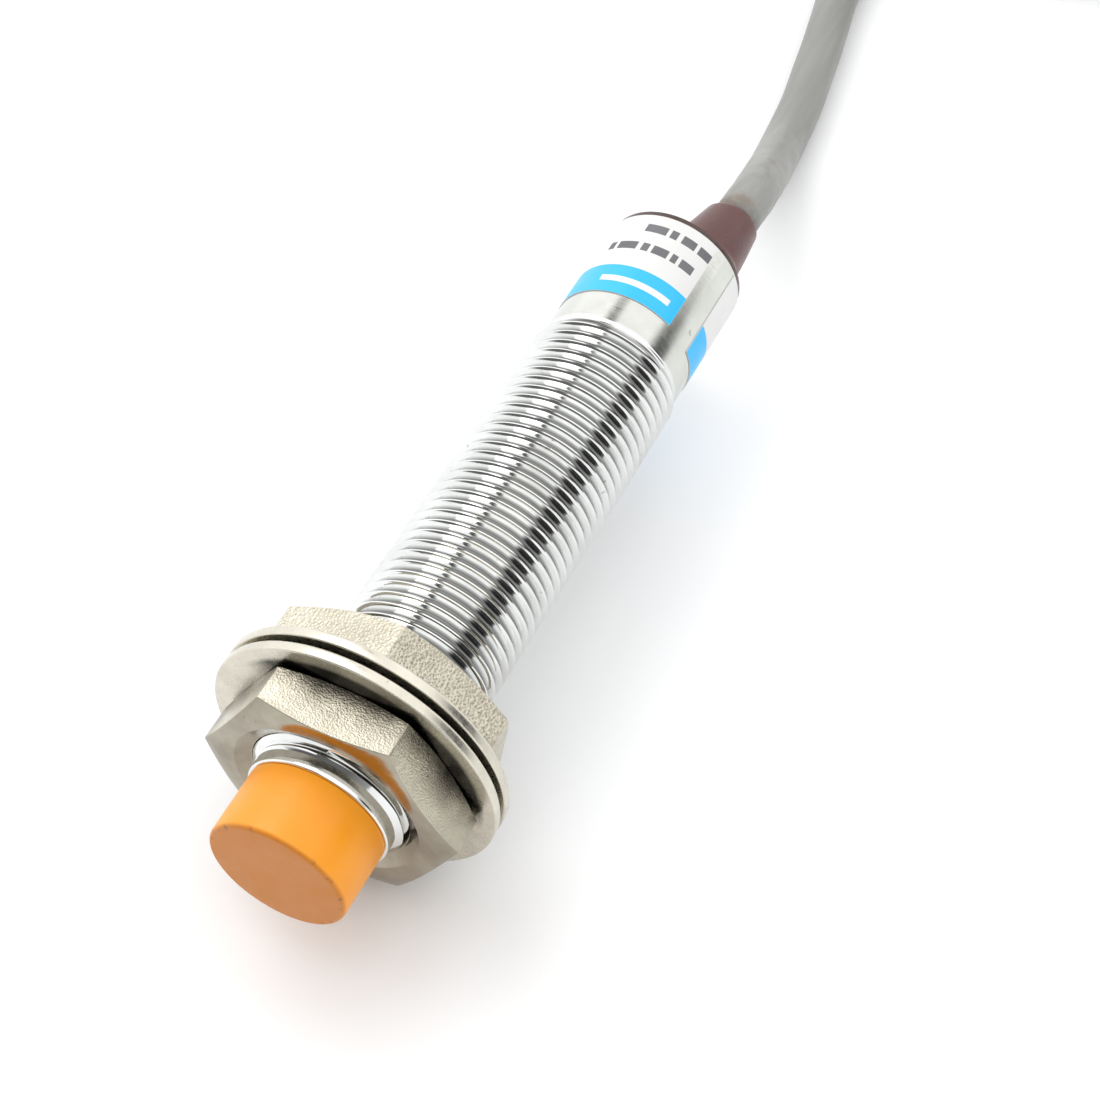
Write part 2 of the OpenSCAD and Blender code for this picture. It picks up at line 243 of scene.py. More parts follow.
def plated(name, light, dark, rough_low, rough_high, line_strength, line_scale=9000.0, speck=0.0, shade=None):
    """Bright nickel plate over turned brass: faint turning lines round the axis, and a few dark specks."""
    m = Nodes(name)
    broad = m.noise(260.0, 4.0, 0.6)
    fine = m.noise(2600.0, 3.0, 0.55)
    colour = m.mix(m.grey(broad, 0.0, 1.0, 0.35, 0.7), light, dark)
    if speck:
        spots = m.spots(m.noise(1500.0, 2.0, 0.5), 0.70, 0.76)
        patch = m.spots(m.noise(190.0, 2.0, 0.5), 0.52, 0.62)
        colour = m.mix(m.times(m.times(spots, patch), speck), colour, SPECK_BROWN)
    # Painted shade: where the shade mask is high, the colour darkens towards a dark brown.
    if shade:
        colour = m.mix(shade(m), colour, PAINTED_SHADE_BROWN)
    m.plug("Base Color", colour)
    m.plug("Metallic", 1.0)
    m.plug("Roughness", m.grey(fine, rough_low, rough_high, 0.3, 0.7))
    lines = m.noise(1.0, 2.0, 0.6, m.scaled(30.0, line_scale, 30.0))
    m.plug("Normal", m.bump(lines, line_strength, FINE_RELIEF))
    return m.material


def cast_nickel(name, light, dark, grain, strength, rough, shade=None):
    """Nickel over a pressed surface: fine round grains, with a warm cast and brighter worn tops."""
    m = Nodes(name)
    cells = m.add("ShaderNodeTexVoronoi", Vector=m.coords, Scale=grain)
    cells.inputs["Randomness"].default_value = 1.0
    broad = m.noise(220.0, 4.0, 0.6)
    soft = m.noise(grain * 1.4, 2.0, 0.5)
    height = m.math("ADD", m.math("MULTIPLY", cells.outputs["Distance"], 0.7), m.math("MULTIPLY", soft, 0.6))
    tint = m.mix(m.grey(broad, 0.0, 1.0, 0.35, 0.7), light, dark)
    # Painted shade: where the shade mask is high, the tint darkens towards a warm brown.
    if shade:
        tint = m.mix(shade(m), tint, NUT_PAINTED_SHADE_BROWN)
    m.plug("Base Color", tint)
    m.plug("Metallic", 1.0)
    m.plug("Roughness", m.grey(broad, rough - 0.05, rough + 0.08, 0.3, 0.7))
    m.plug("Normal", m.bump(height, strength, GRAIN_RELIEF))
    return m.material


def plastic(name, light, dark, rough, grain=1800.0, strength=0.15, subsurface=0.0, coat=0.0):
    """Moulded plastic: faint mottling and a fine grain."""
    m = Nodes(name)
    broad = m.noise(160.0, 4.0, 0.6)
    colour = m.mix(m.grey(broad, 0.0, 1.0, 0.3, 0.7), light, dark)
    m.plug("Base Color", colour)
    m.plug("Roughness", m.grey(m.noise(500.0, 3.0, 0.6), rough - 0.06, rough + 0.08, 0.3, 0.7))
    m.plug("Normal", m.bump(m.noise(grain, 3.0, 0.6), strength, FINE_RELIEF))
    if subsurface:
        m.plug("Subsurface Weight", subsurface)
        m.plug("Subsurface Scale", 0.0006)
    if coat:
        m.plug("Coat Weight", coat)
        m.plug("Coat Roughness", 0.15)
    return m.material


def cap_material():
    """Orange plastic: its moulded front face darkened by painted shade, and a few dark scuffs along its rim.
    """
    m = Nodes("orange_plastic")
    broad = m.grey(m.noise(160.0, 4.0, 0.6), 0.0, 1.0, 0.3, 0.7)
    colour = m.mix(broad, (0.93, 0.345, 0.010), (0.88, 0.315, 0.008))
    # Painted shade: the front face darkens, as it faces away from the light.
    face = m.grey(m.axis("Y"), 1.0, 0.0, 0.06 * MM, 0.34 * MM)
    colour = m.mix(m.times(face, 0.9), colour, (0.56, 0.18, 0.006))
    rim = m.times(face, m.grey(m.off_axis(), 0.0, 1.0, 4.65 * MM, 4.95 * MM))
    marks = m.spots(m.noise(1300.0, 3.0, 0.6), 0.56, 0.66)
    colour = m.mix(m.times(m.times(rim, marks), 0.75), colour, (0.22, 0.085, 0.02))
    m.plug("Base Color", colour)
    m.plug("Roughness", m.grey(m.noise(500.0, 3.0, 0.6), 0.34, 0.50, 0.3, 0.7))
    m.plug("Normal", m.bump(m.noise(2600.0, 3.0, 0.6), 0.12, FINE_RELIEF))
    m.plug("Subsurface Weight", 0.12)
    m.plug("Subsurface Scale", 0.0005)
    return m.material


def metal_finish(name, colour, rough, scale):
    """Plain metal with a fine mottling."""
    m = Nodes(name)
    shade = m.noise(scale, 3.0, 0.6)
    darker = tuple(c * 0.8 for c in colour)
    m.plug("Base Color", m.mix(shade, colour, darker))
    m.plug("Metallic", 1.0)
    m.plug("Roughness", m.grey(shade, rough - 0.05, rough + 0.1))
    m.plug("Normal", m.bump(shade, 0.1, FINE_RELIEF))
    return m.material


def cable_material():
    """Grey PVC: lengthwise streaks from extrusion, and brown handling marks near the boss."""
    m = Nodes("cable_pvc")
    streak = m.noise(1.0, 3.0, 0.6, m.scaled(900.0, 45.0, 900.0))
    colour = m.mix(m.grey(streak, 0.0, 1.0, 0.3, 0.7), (0.285, 0.285, 0.27), (0.235, 0.235, 0.22))
    near = m.grey(m.axis("Y"), 1.0, 0.0, exit_point.y, exit_point.y + 14 * MM)
    marks = m.spots(m.noise(420.0, 5.0, 0.65), 0.50, 0.66)
    colour = m.mix(m.times(m.times(marks, near), 0.75), colour, (0.20, 0.15, 0.11))
    m.plug("Base Color", colour)
    m.plug("Roughness", m.grey(streak, 0.38, 0.52))
    m.plug("Normal", m.bump(m.noise(1.0, 3.0, 0.6, m.scaled(1500.0, 400.0, 1500.0)), 0.12, LINE_RELIEF))
    return m.material


def groove_painted_shade(m):
    """Painted shade, with some grime: dark in the bottoms of the thread's grooves."""
    deep = m.grey(m.off_axis(), 0.80, 0.0, root_r + 0.04 * MM, root_r + 0.30 * MM)
    behind_neck = m.grey(m.axis("Y"), 0.0, 1.0, thread_front + 0.5 * MM, thread_front + 1.2 * MM)
    return m.times(deep, behind_neck)


def nut_painted_shade(m):
    """Painted shade on the front nut's flats, in patches, deepest beside the washer."""
    near = m.grey(m.axis("Y"), 0.0, 1.0, washer_low.y - 2.8 * MM, washer_low.y - 0.2 * MM)
    patches = m.grey(m.noise(420.0, 4.0, 0.6), 0.0, 1.0, 0.35, 0.62)
    return m.times(near, m.grey(patches, 0.35, 0.95))


def washer_painted_shade(m):
    """Painted shadow and reflection of the nut on the front washer's upper side, close round the nut."""
    ring = m.grey(m.off_axis(), 1.0, 0.0, 9.7 * MM, 10.1 * MM)
    across = m.times(m.axis("X"), 0.42)
    above = m.grey(m.math("ADD", across, m.times(m.axis("Z"), 0.91)), 0.0, 1.0, 2.0 * MM, 4.5 * MM)
    patches = m.grey(m.noise(300.0, 3.0, 0.6), 0.80, 1.0, 0.35, 0.6)
    return m.times(m.times(ring, above), patches)


# The thread's grooves get painted shade, with some grime.
chrome = plated("bright_plate", (0.84, 0.85, 0.84), (0.72, 0.73, 0.72), 0.04, 0.10, 0.05, speck=0.6,
                shade=groove_painted_shade)
plain_plate = plated("plain_plate", (0.66, 0.67, 0.63), (0.56, 0.57, 0.53), 0.14, 0.22, 0.25, speck=0.5)
nut_face = plated("turned_nickel", (0.40, 0.37, 0.30), (0.26, 0.23, 0.18), 0.13, 0.22, 0.12, speck=0.5)
# The front nut's flats get painted shade beside the washer.
nut_flat = cast_nickel("nut_flat_nickel", (0.56, 0.52, 0.42), (0.38, 0.35, 0.28), 6500.0, 0.38, 0.30,
                       nut_painted_shade)
nut_pebble = cast_nickel("nut_pebbled_nickel", (0.62, 0.58, 0.47), (0.49, 0.45, 0.36), 4300.0, 1.0, 0.28)
# The front washer carries a painted shadow and reflection of the nut; otherwise it matches the rear washer.
front_plate = plated("front_washer_nickel", (0.70, 0.67, 0.58), (0.56, 0.53, 0.45), 0.24, 0.34, 0.10,
                     speck=0.3, shade=washer_painted_shade)
washer_plate = plated("washer_nickel", (0.70, 0.67, 0.58), (0.56, 0.53, 0.45), 0.24, 0.34, 0.10, speck=0.3)
orange = cap_material()
dark_plug = plastic("dark_plug", (0.070, 0.034, 0.024), (0.045, 0.022, 0.016), 0.28, 1500.0, 0.08)
boss_plastic = plastic("boss_plastic", (0.115, 0.036, 0.030), (0.080, 0.026, 0.022), 0.30, 1500.0, 0.10,
                       subsurface=0.35)
label_white = plastic("label_white", (0.76, 0.76, 0.75), (0.72, 0.72, 0.71), 0.36, 900.0, 0.06)
label_blue = plastic("label_blue", (0.015, 0.46, 0.93), (0.02, 0.50, 0.95), 0.36, 900.0, 0.06)
ink = plastic("grey_ink", (0.11, 0.11, 0.12), (0.16, 0.16, 0.17), 0.45)
pale_ink = plastic("white_ink", (0.80, 0.82, 0.84), (0.74, 0.77, 0.80), 0.40)
pvc = cable_material()
brown_pvc = plastic("brown_pvc", (0.13, 0.05, 0.02), (0.10, 0.04, 0.015), 0.4)
blue_pvc = plastic("blue_pvc", (0.02, 0.07, 0.35), (0.015, 0.05, 0.28), 0.4)
black_pvc = plastic("black_pvc", (0.015, 0.015, 0.015), (0.03, 0.03, 0.03), 0.4)
tin = metal_finish("tinned_copper", (0.75, 0.74, 0.71), 0.3, 3000.0)
tie_nylon = plastic("tie_nylon", (0.02, 0.02, 0.022), (0.035, 0.035, 0.037), 0.38)

INSIDE = {
    "ferrite_core": plastic("sintered_ferrite", (0.030, 0.030, 0.032), (0.055, 0.054, 0.055), 0.6),
    "coil_bobbin": plastic("bobbin_nylon", (0.72, 0.70, 0.62), (0.65, 0.63, 0.55), 0.4),
    "coil_winding": metal_finish("enamelled_wire", (0.55, 0.20, 0.07), 0.25, 6000.0),
    "coil_leads": metal_finish("enamelled_lead", (0.55, 0.20, 0.07), 0.25, 6000.0),
    "circuit_board": plastic("solder_mask", (0.015, 0.12, 0.05), (0.02, 0.15, 0.07), 0.3),
    "oscillator_chip": plastic("chip_epoxy", (0.02, 0.02, 0.022), (0.035, 0.035, 0.036), 0.5),
    "output_transistor": plastic("transistor_epoxy", (0.02, 0.02, 0.022), (0.035, 0.035, 0.036), 0.5),
    "protection_diode": plastic("diode_epoxy", (0.02, 0.02, 0.022), (0.035, 0.035, 0.036), 0.5),
    "smoothing_capacitor": plastic("tantalum_case", (0.60, 0.30, 0.03), (0.52, 0.25, 0.02), 0.4),
    "chip_resistors": plastic("resistor_film", (0.02, 0.02, 0.025), (0.05, 0.05, 0.055), 0.4),
    "chip_capacitors": plastic("capacitor_ceramic", (0.32, 0.20, 0.11), (0.26, 0.16, 0.09), 0.5),
    "indicator_led": plastic("led_lens", (0.85, 0.45, 0.05), (0.80, 0.40, 0.04), 0.15, coat=0.5),
    "potting_resin": plastic("potting_epoxy", (0.035, 0.020, 0.014), (0.05, 0.03, 0.02), 0.25),
    "inner_sheath": pvc,
    "brown_core": brown_pvc,
    "blue_core": blue_pvc,
    "black_core": black_pvc,
}


def paint(obj, *materials):
    """Gives an object these materials, in place of what it has."""
    if obj.data.materials:
        obj.data.materials.clear()
    for material in materials:
        obj.data.materials.append(material)


# ---------------------------------------------------------------- mesh helpers

def piece(name, mesh, body, slot, *materials):
    """Adds a visible piece that rides on a body and wears the materials; slot is not used."""
    obj = bpy.data.objects.new(name, mesh)
    bpy.context.scene.collection.objects.link(obj)
    paint(obj, *materials)
    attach(obj, body)
    return obj


def mesh_from(bm, name):
    """Cleans a bmesh and turns it into a smooth-shaded mesh."""
    bmesh.ops.remove_doubles(bm, verts=bm.verts, dist=1e-7)
    bmesh.ops.dissolve_degenerate(bm, edges=bm.edges, dist=1e-7)
    bmesh.ops.recalc_face_normals(bm, faces=bm.faces)
    mesh = bpy.data.meshes.new(name)
    bm.to_mesh(mesh)
    bm.free()
    mesh.polygons.foreach_set("use_smooth", [True] * len(mesh.polygons))
    return mesh


def round_point(radius, turn, y):
    """A point at radius from the barrel's axis; turn is from +Z towards +X."""
    return Vector((radius * math.sin(turn), y, radius * math.cos(turn)))


def bridge(bm, rings, closed=False):
    """Adds the faces between each ring of vertices and the next, and from the last to the first if closed."""
    after = rings[1:] + rings[:1] if closed else rings[1:]
    for a, b in zip(rings, after):
        for k in range(len(a)):
            n = (k + 1) % len(a)
            bm.faces.new((a[k], a[n], b[n], b[k]))


def close_ends(bm, rings):
    bm.faces.new(rings[0])
    bm.faces.new(rings[-1])


def revolve(bm, outline, steps, closed=False):
    """Revolves a list of (radius, y) about the barrel's axis."""
    rings = []
    for radius, y in outline:
        rings.append([bm.verts.new(round_point(radius, TAU * k / steps, y)) for k in range(steps)])
    bridge(bm, rings, closed)


def arc(centre_r, centre_y, radius, start, end, steps=6):
    """Points of a small round edge in the (radius, y) plane; 0 degrees is outwards and 90 is +Y."""
    return [
        (
            centre_r + radius * math.cos(math.radians(start + (end - start) * i / steps)),
            centre_y + radius * math.sin(math.radians(start + (end - start) * i / steps)),
        )
        for i in range(steps + 1)
    ]


def sharp_by_angle(obj, degrees):
    """Marks the edges sharp where faces meet at more than the angle."""
    mesh = obj.data
    bm = bmesh.new()
    bm.from_mesh(mesh)
    limit = math.radians(degrees)
    for edge in bm.edges:
        if len(edge.link_faces) == 2 and edge.calc_face_angle(0.0) > limit:
            edge.smooth = False
    bm.to_mesh(mesh)
    bm.free()


# ---------------------------------------------------------------- cable

def smooth_path(points, spacing):
    """A curve through the points (Catmull-Rom), resampled at even spacing."""
    dense = []
    for i in range(len(points) - 1):
        a = points[max(i - 1, 0)]
        b, c = points[i], points[i + 1]
        d = points[min(i + 2, len(points) - 1)]
        for k in range(12):
            t = k / 12
            dense.append(0.5 * (
                2 * b + (c - a) * t + (2 * a - 5 * b + 4 * c - d) * t * t
                + (3 * b - a - 3 * c + d) * t ** 3
            ))
    dense.append(points[-1])
    walked = [0.0]
    for p, q in zip(dense, dense[1:]):
        walked.append(walked[-1] + (q - p).length)
    count = max(2, round(walked[-1] / spacing))
    made, j = [], 0
    for i in range(count + 1):
        goal = walked[-1] * i / count
        while j < len(walked) - 2 and walked[j + 1] < goal:
            j += 1
        span = walked[j + 1] - walked[j]
        made.append(dense[j].lerp(dense[j + 1], (goal - walked[j]) / span if span else 0.0))
    return made


def fold_point(fold_y, radius, turn, height):
    """A point on a fold of the hank. turn is from +X towards +Y."""
    return Vector((hank_x + radius * math.cos(turn), fold_y + radius * math.sin(turn), height))


def rear_fold(radius, height):
    """The hank's rear fold, clockwise from above."""
    turns = [math.pi * (1 - i / fold_points) for i in range(fold_points + 1)]
    return [fold_point(rear_fold_y, radius, turn, height) for turn in turns]


def cable_points():
    """The whole sheath: the route from the boss, then the hank's turns, and the tail on top of them."""
    run_y = (front_fold_y + rear_fold_y) / 2
    points = [exit_point] + [Vector(p) * MM for p in ROUTE_MM]
    points.append(Vector((hank_x - outer_fold_r, front_fold_y, lay_z)))
    lanes = (                       # fold radius, layer and bulge in the front fold of each turn
        (inner_fold_r, 0, 0.0), (inner_fold_r, 1, -1.2), (outer_fold_r, 1, 0.0),
        (outer_fold_r, 2, 1.2), (inner_fold_r, 2, 0.0), (inner_fold_r, 3, -1.2),
    )
    radius, height = outer_fold_r, lay_z
    for next_radius, layer, bulge in lanes:
        next_height = lay_z + layer * cable_step
        points.append(Vector((hank_x - radius, run_y, height)))
        points += rear_fold(radius, height)
        points.append(Vector((hank_x + radius, run_y, height)))
        for i in range(fold_points + 1):           # front fold, where the cable changes lane or layer
            u = i / fold_points
            r = radius + (next_radius - radius) * ease(u) + bulge * MM * math.sin(math.pi * u)
            z = height + (next_height - height) * ease(u)
            points.append(fold_point(front_fold_y, r, -math.pi * u, z))
        radius, height = next_radius, next_height
    points.append(Vector((hank_x - radius, run_y, tail_z)))
    points += rear_fold(radius, tail_z)
    points.append(Vector((hank_x + radius, sheath_end_y + 8 * MM, tail_z)))
    points.append(Vector((hank_x + radius, sheath_end_y, tail_z)))
    return points


DENTS = [math.radians(a) for a in (64, 184, 304)]  # where the three cores leave the sheath hollow
DENT_WIDTH = 0.28


def tube(name, path, radius, sides, groove=0.0):
    """A closed tube along a path, whose rings don't twist. groove is the depth of its lengthwise dents."""
    bm = bmesh.new()
    rings = []
    side = None
    for i, p in enumerate(path):
        ahead = path[min(i + 1, len(path) - 1)] - path[max(i - 1, 0)]
        t = ahead.normalized()
        side = t.cross(Vector((0, 0, 1))) if side is None else side - t * side.dot(t)
        side = side.normalized()
        up = side.cross(t)
        ring = []
        for k in range(sides):
            a = TAU * k / sides
            r = radius
            if groove:
                for centre in DENTS:
                    away = (a - centre + math.pi) % TAU - math.pi
                    r -= groove * math.exp(-(away / DENT_WIDTH) ** 2)
            ring.append(bm.verts.new(p + side * (r * math.cos(a)) + up * (r * math.sin(a))))
        rings.append(ring)
    bridge(bm, rings)
    close_ends(bm, rings)
    return mesh_from(bm, name)


def make_lead(name, node, across, above, lane, slot, material):
    """A stripped wire: it comes down from the sheath's end onto the top of the hank.

    across and above are its place in the sheath's end, and lane its place on the hank.
    """
    steps = 24
    points = []
    for i in range(steps + 1):
        along = lead_length * i / steps
        u = ease(along / lead_drop)
        points.append(Vector((
            hank_x + inner_fold_r + across + (lane - across) * u,
            sheath_end_y - along,
            tail_z + above + (hank_top + wire_r - tail_z - above) * u,
        )))
    lead = piece(name, tube(name, points, wire_r, 16), "sensor", slot, material)
    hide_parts(node)
    return lead


def make_tips():
    """The tinned ends of the three wires, twisted strands under solder."""
    tip_r, tip_z, tip_length = 0.38 * MM, hank_top + wire_r, 4 * MM
    strands, twist = 7, 0.35                       # outer strands, and their turn from ring to ring
    steps, sides = 16, 28
    start = sheath_end_y - lead_length
    bm = bmesh.new()
    for lane in (-1, 0, 1):
        rings = []
        for i in range(steps + 1):
            middle = Vector((hank_x + inner_fold_r + lane * wire_gap, start - tip_length * i / steps, tip_z))
            ring = []
            for k in range(sides):
                a = TAU * k / sides
                r = tip_r * (0.94 + 0.06 * math.cos(strands * (a + i * twist)))
                r *= 1 - 0.35 * ease((i - 14) / 2)  # the last two rings narrow to a blunt end
                ring.append(bm.verts.new(middle + Vector((r * math.cos(a), 0, r * math.sin(a)))))
            rings.append(ring)
        bridge(bm, rings)
        close_ends(bm, rings)
    tips = piece("tinned_ends", mesh_from(bm, "tinned_ends"), "sensor", "tinned_copper", tin)
    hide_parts("tinned_tips")
    return tips


def make_tie():
    """A flat nylon strap round the hank, with rounded corners."""
    wide, thick, bend = 5.0 * MM, 0.45 * MM, 1.3 * MM
    half = hank_outer_r
    height = hank_top - floor_z
    corners = ((-half + bend, bend, 180, 270), (half - bend, bend, 270, 360),
               (half - bend, height - bend, 0, 90), (-half + bend, height - bend, 90, 180))
    bm = bmesh.new()
    rings = []
    for x, z, start, end in corners:
        for i in range(7):
            a = math.radians(start + (end - start) * i / 6)
            ring = []
            for offset, side in ((bend, -1), (bend, 1), (bend + thick, 1), (bend + thick, -1)):
                pz = z + math.sin(a) * offset
                pz = max(pz, 0.02 * MM if offset > bend else thick)    # it stays above the table
                ring.append(bm.verts.new((
                    hank_x + x + math.cos(a) * offset, tie_y + side * wide / 2, floor_z + pz,
                )))
            rings.append(ring)
    bridge(bm, rings, closed=True)
    tie = piece("hank_strap", mesh_from(bm, "hank_strap"), "sensor", "tie_plastic", tie_nylon)
    sharp_by_angle(tie, 50)
    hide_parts("hank_tie")
    return tie


def make_cable():
    """The sheath from the boss to its end, with the wires, the tips and the strap that lie with it."""
    path = smooth_path(cable_points(), 1.2 * MM)
    for point in path:                             # the curve may dip a hair under the table
        point.z = max(point.z, lay_z)
    sheath = tube("cable_sheath", path, cable_r, 24, 0.10 * MM)
    cable = piece("cable_sheath", sheath, "sensor", "cable_sheath", pvc)
    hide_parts("cable", "cable_hank", "cable_tail")
    with_pieces = [
        make_lead("brown_wire", "brown_lead", -0.65 * MM, -0.4 * MM, -wire_gap, "brown_insulation",
                  brown_pvc),
        make_lead("blue_wire", "blue_lead", 0.65 * MM, -0.4 * MM, wire_gap, "blue_insulation", blue_pvc),
        make_lead("black_wire", "black_lead", 0.0, 0.7 * MM, 0.0, "black_insulation", black_pvc),
        make_tips(),
        make_tie(),
    ]


make_cable()

# ---------------------------------------------------------------- barrel and thread

def thread_radius(phase, y):
    """Radius of the thread at a phase of 0 to 1 along its pitch.

    It fades into the neck in front and into the plain section behind.
    """
    away = abs((phase + 0.5) % 1.0 - 0.5)
    flat, flank = 0.05, 0.36                       # half the crest and one flank, as shares of the pitch
    straight, rounded = 0.55, 0.45                 # how much of the flank's slope is straight or rounded
    lead_in_slope = 1.2
    run_out_start, run_out_length = thread_rear - 1.1 * MM, 1.0 * MM
    drop = min(1.0, max(0.0, (away - flat) / flank))
    drop = straight * drop + rounded * ease(drop)
    radius = crest_r - (crest_r - root_r) * drop
    lead_in = neck_r + (y - thread_front) * lead_in_slope
    run_out = ease((y - run_out_start) / run_out_length)
    radius = min(radius, max(lead_in, neck_r))
    return radius + (plain_r - radius) * run_out


def make_barrel():
    """The plated tube: neck, helical thread and plain section, as one shell with its bore."""
    bm = bmesh.new()
    steps = 128
    phases = (0.0, 0.05, 0.10, 0.18, 0.27, 0.36, 0.43, 0.5, 0.57, 0.64, 0.73, 0.82, 0.90, 0.95)
    per_turn = len(phases)
    turns = math.ceil((thread_rear - thread_front) / pitch) + 2
    rows = [(turn + phase - 1.0, phase) for turn in range(turns) for phase in phases]
    columns = []                                   # one lengthwise line of (radius, y) for each step round
    for k in range(steps + 1):
        column = []
        shift = k / steps
        for place, phase in rows:
            y = thread_front + (place + shift) * pitch
            inside = min(thread_rear, max(thread_front, y))
            radius = thread_radius(phase, inside)
            if y <= thread_front:
                radius = neck_r
            if y >= thread_rear:
                radius = plain_r
            column.append((radius, inside))
        columns.append(column)
    grid = [[bm.verts.new(round_point(r, TAU * k / steps, y)) for r, y in columns[k]] for k in range(steps)]
    for k in range(steps):                         # past the seam the helix has moved on by one turn
        last = k == steps - 1
        a, b = grid[k], grid[0] if last else grid[k + 1]
        skip = per_turn if last else 0
        for i in range(len(rows) - 1 - skip):
            bm.faces.new((a[i], a[i + 1], b[i + 1 + skip], b[i + skip]))
    edge = 0.12 * MM
    front_end, rear_end = barrel_low.y, barrel_high.y
    neck = [(neck_r, thread_front), (neck_r, front_end + edge)]
    neck += arc(neck_r - edge, front_end + edge, edge, 0, -90, 4)
    neck += [(bore_r, front_end), (bore_r, rear_end)]
    neck += [(plain_r - edge, rear_end)] + arc(plain_r - edge, rear_end - edge, edge, 90, 0, 4)
    neck += [(plain_r, thread_rear)]
    revolve(bm, neck, steps)
    mesh = mesh_from(bm, "barrel_shell")
    barrel = piece("barrel_shell", mesh, "sensor", "plated_barrel", chrome, plain_plate)
    for polygon in mesh.polygons:
        if polygon.center.y > thread_rear:
            polygon.material_index = 1
    sharp_by_angle(barrel, 50)
    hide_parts("barrel")


make_barrel()

# ---------------------------------------------------------------- cap, nuts and washers

def make_cap():
    """The orange cap: a cup with a softly rounded front edge and a skirt inside the barrel."""
    bm = bmesh.new()
    cap_r = cap_high.x
    edge = 0.38 * MM
    rear_edge = 0.08 * MM
    inner_r = 4.4 * MM
    face_t = 0.8 * MM
    skirt_rear = cap_high.y
    shoulder_y = barrel_low.y - 0.01 * MM
    outline = [(0.0, cap_low.y), (cap_r * 0.35, cap_low.y), (cap_r * 0.7, cap_low.y)]
    outline += arc(cap_r - edge, cap_low.y + edge, edge, -90, 0, 8)
    outline += [(cap_r, shoulder_y * 0.5)]
    outline += arc(cap_r - rear_edge, shoulder_y - rear_edge, rear_edge, 0, 90, 3)
    outline += [(plugged_r, shoulder_y), (plugged_r, skirt_rear), (inner_r, skirt_rear)]
    outline += [(inner_r, cap_low.y + face_t), (0.0, cap_low.y + face_t)]
    revolve(bm, outline, 160)
    cap = piece("cap_shell", mesh_from(bm, "cap_shell"), "sensor", "cap_plastic", orange)
    sharp_by_angle(cap, 50)
    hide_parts("sensing_cap")


def make_washer(name, node, material):
    """A stamped washer: one edge rolled over, the other nearly sharp."""
    low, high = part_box(node)
    outer = high.x
    roll, crisp = 0.30 * MM, 0.12 * MM
    outline = [(sliding_r, high.y), (sliding_r, low.y)]
    outline += [(outer * 0.75, low.y)]
    outline += arc(outer - crisp, low.y + crisp, crisp, -90, 0, 4)
    outline += arc(outer - roll, high.y - roll, roll, 0, 90, 6)
    outline += [(outer * 0.75, high.y)]
    bm = bmesh.new()
    revolve(bm, outline, 224, closed=True)
    washer = piece(name, mesh_from(bm, name), node, "plated_washer", material)
    sharp_by_angle(washer, 50)
    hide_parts(node)


def hexagon(flats, turn, corner_round):
    """Points round a hexagon with rounded corners, as (angle from +Z towards +X, radius)."""
    corner_steps, flat_steps = 5, 10
    half = flats / 2
    points = []
    for side in range(6):
        corner = turn + side * TAU / 6
        centre = (half - corner_round) / math.cos(TAU / 12)
        for i in range(corner_steps + 1):
            a = corner + (i / corner_steps - 0.5) * TAU / 6
            x = centre * math.cos(corner) + corner_round * math.cos(a)
            y = centre * math.sin(corner) + corner_round * math.sin(a)
            points.append((x, y))
        after = turn + (side + 1) * TAU / 6
        start = points[-1]
        end = (
            centre * math.cos(after) + corner_round * math.cos(after - TAU / 12),
            centre * math.sin(after) + corner_round * math.sin(after - TAU / 12),
        )
        for i in range(1, flat_steps):
            u = i / flat_steps
            points.append((start[0] + (end[0] - start[0]) * u, start[1] + (end[1] - start[1]) * u))
    return [(math.atan2(y, x), math.hypot(x, y)) for x, y in points]


